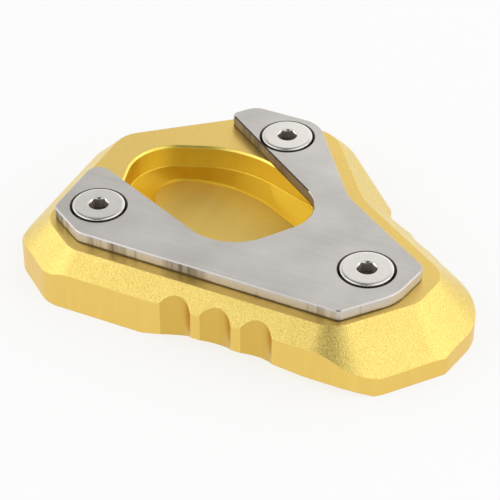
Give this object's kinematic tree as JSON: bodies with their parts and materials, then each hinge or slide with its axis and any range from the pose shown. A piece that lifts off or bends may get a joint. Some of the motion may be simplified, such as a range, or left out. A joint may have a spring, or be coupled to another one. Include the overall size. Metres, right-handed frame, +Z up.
{
  "type": "side stand foot enlarger",
  "caption": "Scalloped gold aluminium pad with a foot pocket, closed by a forked steel clamp plate under countersunk screws.",
  "frame": {"origin": "centre of the bounding box's bottom face, on the ground under the pad", "axes": "+X along the scalloped front wall towards the rounded right corner, +Y from the front wall towards the rear screw, +Z up out of the pocket"},
  "size_m": [0.104, 0.0726, 0.0173],
  "materials": {
    "gold_aluminium": "bead-blasted and anodised gold",
    "plate_steel": "finely brushed stainless steel",
    "screw_steel": "turned and polished stainless steel"
  },
  "bodies": {
    "root": {"base_block": "gold_aluminium", "clamp_plate": "plate_steel", "clamp_screws": "screw_steel"}
  },
  "joints": []
}
